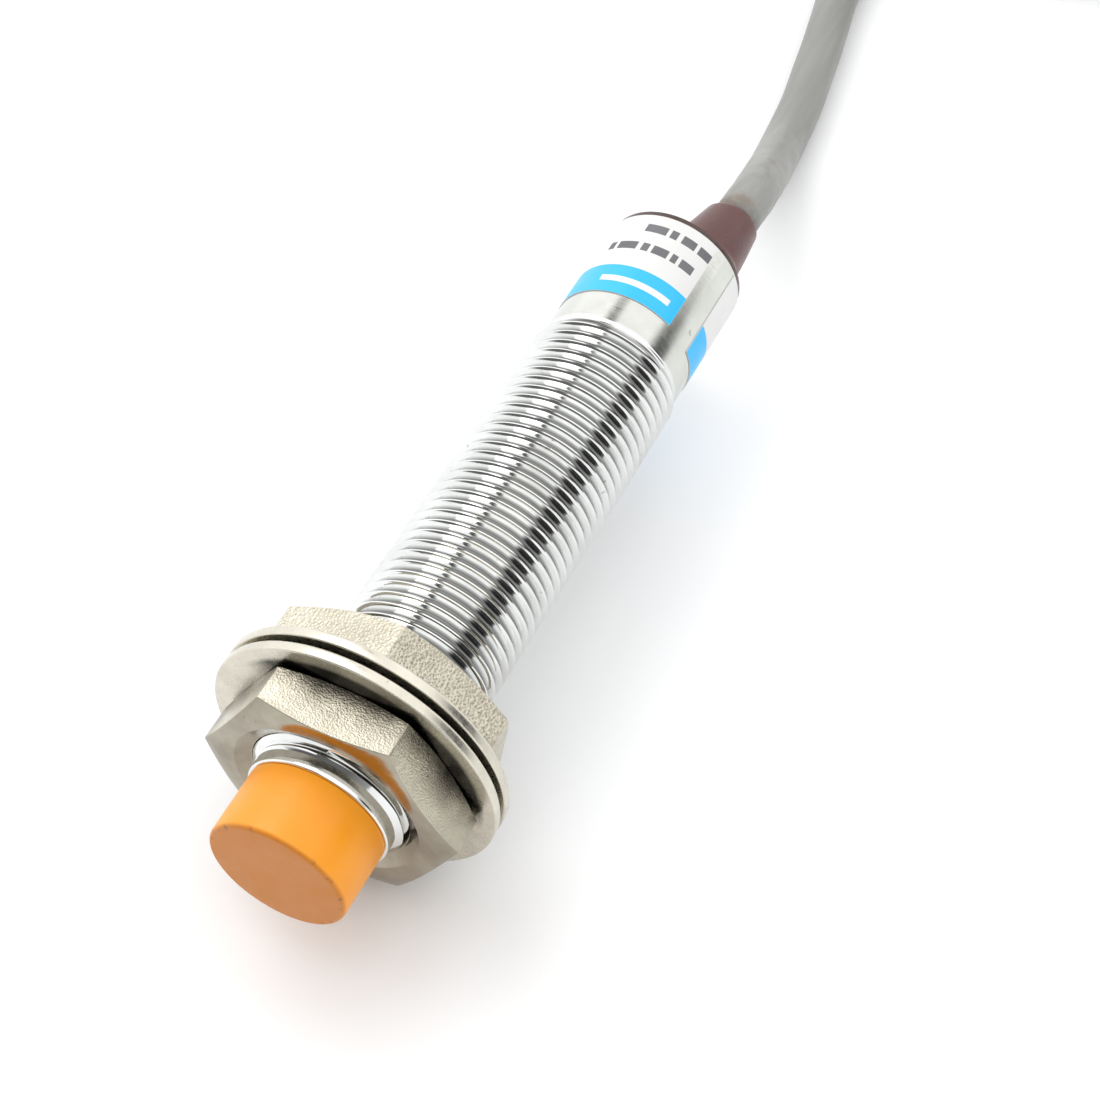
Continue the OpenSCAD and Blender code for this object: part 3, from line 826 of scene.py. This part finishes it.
def make_nut(name, node, turn_degrees, flat_material):
    """A hexagon nut: pressed flats, turned and chamfered faces, and a countersunk, threaded bore."""
    low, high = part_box(node)
    flats_mm, face_mm, corner_drop_mm = 17.0, 8.4, 0.5     # across flats, turned face's radius, its chamfer
    flats = flats_mm * MM
    chamfer_r = face_mm * MM
    slope = corner_drop_mm / (flats_mm / math.sqrt(3) - face_mm)
    corner_round = 0.22 * MM
    nut_edge_degrees = 24
    countersink_r = 7.15 * MM
    countersink_h = 0.6 * MM
    groove_r = sliding_r + 0.42 * MM
    mouth_r = sliding_r + 0.1 * MM
    mid_face_r = (countersink_r + chamfer_r) / 2
    bore = [(countersink_r, high.y), (mouth_r, high.y - countersink_h)]
    start = low.y + countersink_h + 0.25 * MM
    for turn in (2, 1, 0):                         # three grooves, from the rear to the front
        y = start + turn * pitch
        bore += [(sliding_r, y + 0.36 * MM), (groove_r, y + 0.06 * MM), (groove_r, y - 0.06 * MM),
                 (sliding_r, y - 0.24 * MM)]
    bore += [(mouth_r, low.y + countersink_h), (countersink_r, low.y)]
    bm = bmesh.new()
    columns = []
    for angle, radius in hexagon(flats, math.radians(turn_degrees), corner_round):
        depth = (radius - chamfer_r) * slope
        outline = list(bore)
        outline += [(mid_face_r, low.y), (chamfer_r, low.y), (radius, low.y + depth)]
        for share in (0.25, 0.5, 0.75):
            outline.append((radius, low.y + depth + (high.y - low.y - 2 * depth) * share))
        outline += [(radius, high.y - depth), (chamfer_r, high.y), (mid_face_r, high.y)]
        columns.append([bm.verts.new(round_point(r, angle, y)) for r, y in outline])
    rows = len(columns[0])
    flat_rows = range(len(bore) + 2, len(bore) + 6)
    for k in range(len(columns)):
        a, b = columns[k], columns[(k + 1) % len(columns)]
        for i in range(rows):
            face = bm.faces.new((a[i], a[(i + 1) % rows], b[(i + 1) % rows], b[i]))
            face.material_index = 1 if i in flat_rows else 0
    nut = piece(name, mesh_from(bm, name), node, "plated_nut", nut_face, flat_material)
    sharp_by_angle(nut, nut_edge_degrees)
    bevel = nut.modifiers.new("worn_edges", "BEVEL")
    bevel.width = 0.07 * MM
    bevel.segments = 2
    bevel.limit_method = "ANGLE"
    bevel.angle_limit = math.radians(nut_edge_degrees)
    bevel.harden_normals = True
    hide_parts(node)


make_cap()
make_washer("front_washer_ring", "front_washer", front_plate)
make_washer("rear_washer_ring", "rear_washer", washer_plate)
make_nut("front_nut_body", "front_nut", -29, nut_flat)
make_nut("rear_nut_body", "rear_nut", 9, nut_pebble)

# ---------------------------------------------------------------- label

def make_label():
    """Wrap-round label: a blue front band, and plain bars in place of print."""
    gap_start, gap_end = 41.5, 68.5                # degrees, between the label's two ends
    print_zero = 398                               # the spans below are in degrees back from here
    row_height = 0.85 * MM
    row_1, row_2 = label_low.y + 4.9 * MM, label_low.y + 7.0 * MM
    band = (label_low.y + 1.2 * MM, label_low.y + 1.8 * MM)
    first, last = gap_end, gap_start + 360
    thick = label_high.x - plain_r
    front, rear = label_low.y, label_high.y
    white_start = front + 3.0 * MM
    bars = []                                      # (row start, row end, first angle, last angle, material)
    for base, spans in (
        (row_1, ((4, 16), (19, 24), (27, 40), (43, 49), (53, 70), (73, 79))),
        (row_2, ((-3, 9), (12, 24), (28, 34), (37, 55))),
        (row_1, ((150, 168), (171, 180), (184, 205))),
        (row_2, ((150, 160), (164, 190))),
    ):
        for a, b in spans:
            bars.append((base, base + row_height, print_zero - b, print_zero - a, 2))
    for a, b in ((6, 66), (150, 205)):
        bars.append((*band, print_zero - b, print_zero - a, 3))
    ys = sorted({front, white_start, rear} | {b[0] for b in bars} | {b[1] for b in bars})
    marks = {first, last} | {b[2] for b in bars} | {b[3] for b in bars}
    angles = sorted(marks | {float(a) for a in range(math.ceil(first), int(last), 2)})
    bm = bmesh.new()
    outer = [[bm.verts.new(round_point(plain_r + thick, math.radians(a), y)) for y in ys] for a in angles]
    for i in range(len(angles) - 1):
        for j in range(len(ys) - 1):
            face = bm.faces.new((outer[i][j], outer[i][j + 1], outer[i + 1][j + 1], outer[i + 1][j]))
            middle_a = (angles[i] + angles[i + 1]) / 2
            middle_y = (ys[j] + ys[j + 1]) / 2
            face.material_index = 1 if middle_y < white_start else 0
            for y0, y1, a0, a1, material in bars:
                if y0 < middle_y < y1 and a0 < middle_a < a1:
                    face.material_index = material
    inner_r = plain_r + 0.004 * MM
    inner = [[bm.verts.new(round_point(inner_r, math.radians(a), y)) for y in ys] for a in angles]
    n, m = len(angles) - 1, len(ys) - 1
    for i in range(n):
        for j in range(m):
            bm.faces.new((inner[i][j], inner[i + 1][j], inner[i + 1][j + 1], inner[i][j + 1]))
        for j in (0, m):
            bm.faces.new((outer[i][j], outer[i + 1][j], inner[i + 1][j], inner[i][j]))
    for i in (0, n):
        for j in range(m):
            bm.faces.new((outer[i][j], outer[i][j + 1], inner[i][j + 1], inner[i][j]))
    label = piece("wrap_label", mesh_from(bm, "wrap_label"), "sensor", "label_film",
                  label_white, label_blue, ink, pale_ink)
    sharp_by_angle(label, 40)
    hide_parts("name_label")


make_label()

# ---------------------------------------------------------------- end plug and boss

rim_r = 5.6 * MM
rim_front = barrel_high.y + 0.005 * MM
rim_rear = barrel_high.y + 0.45 * MM
cable_hole_r = cable_r + 0.02 * MM


def make_rim():
    """The dark rim that closes the barrel, with the plug behind it."""
    edge = 0.12 * MM
    outline = [(0.0, rim_rear), (rim_r - 1.0 * MM, rim_rear)]
    outline += arc(rim_r - edge, rim_rear - edge, edge, 90, 0, 4)
    outline += [(rim_r, rim_front), (plugged_r, rim_front), (plugged_r, plug_low.y), (0.0, plug_low.y)]
    bm = bmesh.new()
    revolve(bm, outline, 128)
    rim = piece("plug_rim", mesh_from(bm, "plug_rim"), "sensor", "plug_plastic", dark_plug)
    sharp_by_angle(rim, 50)
    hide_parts("end_plug")


def make_boss():
    """The tapered boss off the rim's middle, which flares into the rim and grips the cable."""
    base = Vector((2.06, rim_rear / MM - 0.02, 1.23)) * MM
    tip = Vector((2.4 * MM, sheath_high.y, 1.0 * MM))
    base_r, tip_r, round_r, flare = 2.95 * MM, 2.35 * MM, 0.55 * MM, 0.22 * MM
    flare_limit = rim_r - 0.02 * MM
    steps = 72
    profile = []                                   # (share of the way to the tip, radius)
    length = (tip - base).length
    for i in range(5):
        u = i / 4
        profile.append((u * 0.6 * MM / length, base_r + flare * (1 - u) ** 2))
    profile.append((0.5, (base_r + tip_r) / 2 + 0.04 * MM))
    for i in range(8):
        a = math.radians(90 * i / 7)
        profile.append((
            1 - (round_r - round_r * math.sin(a)) / length,
            tip_r - round_r + round_r * math.cos(a),
        ))
    profile.append((1.0, cable_hole_r))
    profile.append((1 - 1.2 * MM / length, cable_hole_r))
    bm = bmesh.new()
    rings = []
    for u, r in profile:
        centre = base.lerp(tip, u)
        near_tip = ease((u - 0.75) / 0.2)
        hole = Vector((cable_x, centre.y, cable_z))
        middle = centre.lerp(hole, near_tip if r <= cable_r + 0.1 * MM else 0.0)
        ring = []
        for k in range(steps):
            p = middle + Vector((r * math.sin(TAU * k / steps), 0, r * math.cos(TAU * k / steps)))
            off_axis = math.hypot(p.x, p.z)
            if off_axis > flare_limit:             # the flare stops at the rim's edge
                p.x *= flare_limit / off_axis
                p.z *= flare_limit / off_axis
            ring.append(bm.verts.new(p))
        rings.append(ring)
    bridge(bm, rings)
    close_ends(bm, rings)
    boss = piece("cable_boss", mesh_from(bm, "cable_boss"), "sensor", "plug_plastic", boss_plastic)
    sharp_by_angle(boss, 50)


make_rim()
make_boss()

# ---------------------------------------------------------------- pieces inside the housing

for node_name, material in INSIDE.items():
    paint(nodes[node_name], material)

# ---------------------------------------------------------------- floor and light

def direction_patch(tree, direction, toward, inner_degrees, outer_degrees):
    """1 where the world is seen within inner_degrees of toward, fading to 0 at outer_degrees."""
    dot = tree.nodes.new("ShaderNodeVectorMath")
    dot.operation = "DOT_PRODUCT"
    tree.links.new(direction, dot.inputs[0])
    dot.inputs[1].default_value = Vector(toward).normalized()
    fade = tree.nodes.new("ShaderNodeMapRange")
    fade.interpolation_type = "SMOOTHSTEP"
    tree.links.new(dot.outputs["Value"], fade.inputs["Value"])
    fade.inputs["From Min"].default_value = math.cos(math.radians(outer_degrees))
    fade.inputs["From Max"].default_value = math.cos(math.radians(inner_degrees))
    return fade.outputs["Result"]


world_level = 1.42
key_place, key_target = (-0.35, 0.25, 0.60), (0, 0.03, 0)
key_size, key_power = 0.45, 1.1
floor_half = 8.0


def make_world():
    """A white studio with a few dark gaps, which the bright metal mirrors as streaks."""
    world = bpy.data.worlds.new("studio")
    bpy.context.scene.world = world
    world.use_nodes = True
    tree = world.node_tree
    background = tree.nodes["Background"]
    direction = tree.nodes.new("ShaderNodeTexCoord").outputs["Generated"]
    level = None
    gaps = (                                       # direction, inner and outer degrees, strength
        ((-0.27, -0.42, 0.87), 5, 14, 0.95),       # between the two overhead lights
        ((-0.27, 0.54, 0.80), 4, 12, 0.90),        # the rear end of the same gap
        ((0.85, 0.45, 0.27), 11, 23, 0.97),        # the dark side of the room, low on the right
        ((0.60, -0.75, 0.25), 12, 32, 0.90),       # the same side, nearer the camera
        ((-0.30, -1.00, 0.15), 24, 44, 0.90),      # behind the camera
    )
    for toward, inner, outer, strength in gaps:
        patch = direction_patch(tree, direction, toward, inner, outer)
        keep = tree.nodes.new("ShaderNodeMapRange")
        tree.links.new(patch, keep.inputs["Value"])
        keep.inputs["To Min"].default_value = 1.0
        keep.inputs["To Max"].default_value = 1.0 - strength
        if level is None:
            level = keep.outputs["Result"]
        else:
            product = tree.nodes.new("ShaderNodeMath")
            product.operation = "MULTIPLY"
            tree.links.new(level, product.inputs[0])
            tree.links.new(keep.outputs["Result"], product.inputs[1])
            level = product.outputs[0]
    background.inputs["Color"].default_value = (1, 1, 1, 1)
    whole = tree.nodes.new("ShaderNodeMath")
    whole.operation = "MULTIPLY"
    tree.links.new(level, whole.inputs[0])
    whole.inputs[1].default_value = world_level
    tree.links.new(whole.outputs[0], background.inputs["Strength"])


def area_light(name, place, target, size, power):
    """A round soft light aimed at a target."""
    data = bpy.data.lights.new(name, "AREA")
    data.shape = "DISK"
    data.size = size
    data.energy = power
    light = bpy.data.objects.new(name, data)
    bpy.context.scene.collection.objects.link(light)
    light.location = place
    light.rotation_euler = (Vector(place) - Vector(target)).to_track_quat("Z", "Y").to_euler()


def make_floor():
    """A plain pale table top, with the faintest unevenness."""
    mesh = bpy.data.meshes.new("table_top")
    corners = [(x * floor_half, y * floor_half, floor_z) for x, y in ((-1, -1), (1, -1), (1, 1), (-1, 1))]
    mesh.from_pydata(corners, [], [(0, 1, 2, 3)])
    floor = bpy.data.objects.new("table_top", mesh)
    bpy.context.scene.collection.objects.link(floor)
    m = Nodes("white_table")
    m.plug("Base Color", m.mix(m.noise(18.0, 3.0, 0.5), (0.935, 0.94, 0.945), (0.925, 0.93, 0.935)))
    m.plug("Roughness", m.grey(m.noise(60.0), 0.55, 0.7))
    m.plug("Normal", m.bump(m.noise(700.0, 3.0, 0.6), 0.05, 0.00005))
    paint(floor, m.material)


make_floor()
make_world()
area_light("key", key_place, key_target, key_size, key_power)
bpy.context.scene.view_settings.view_transform = "Standard"
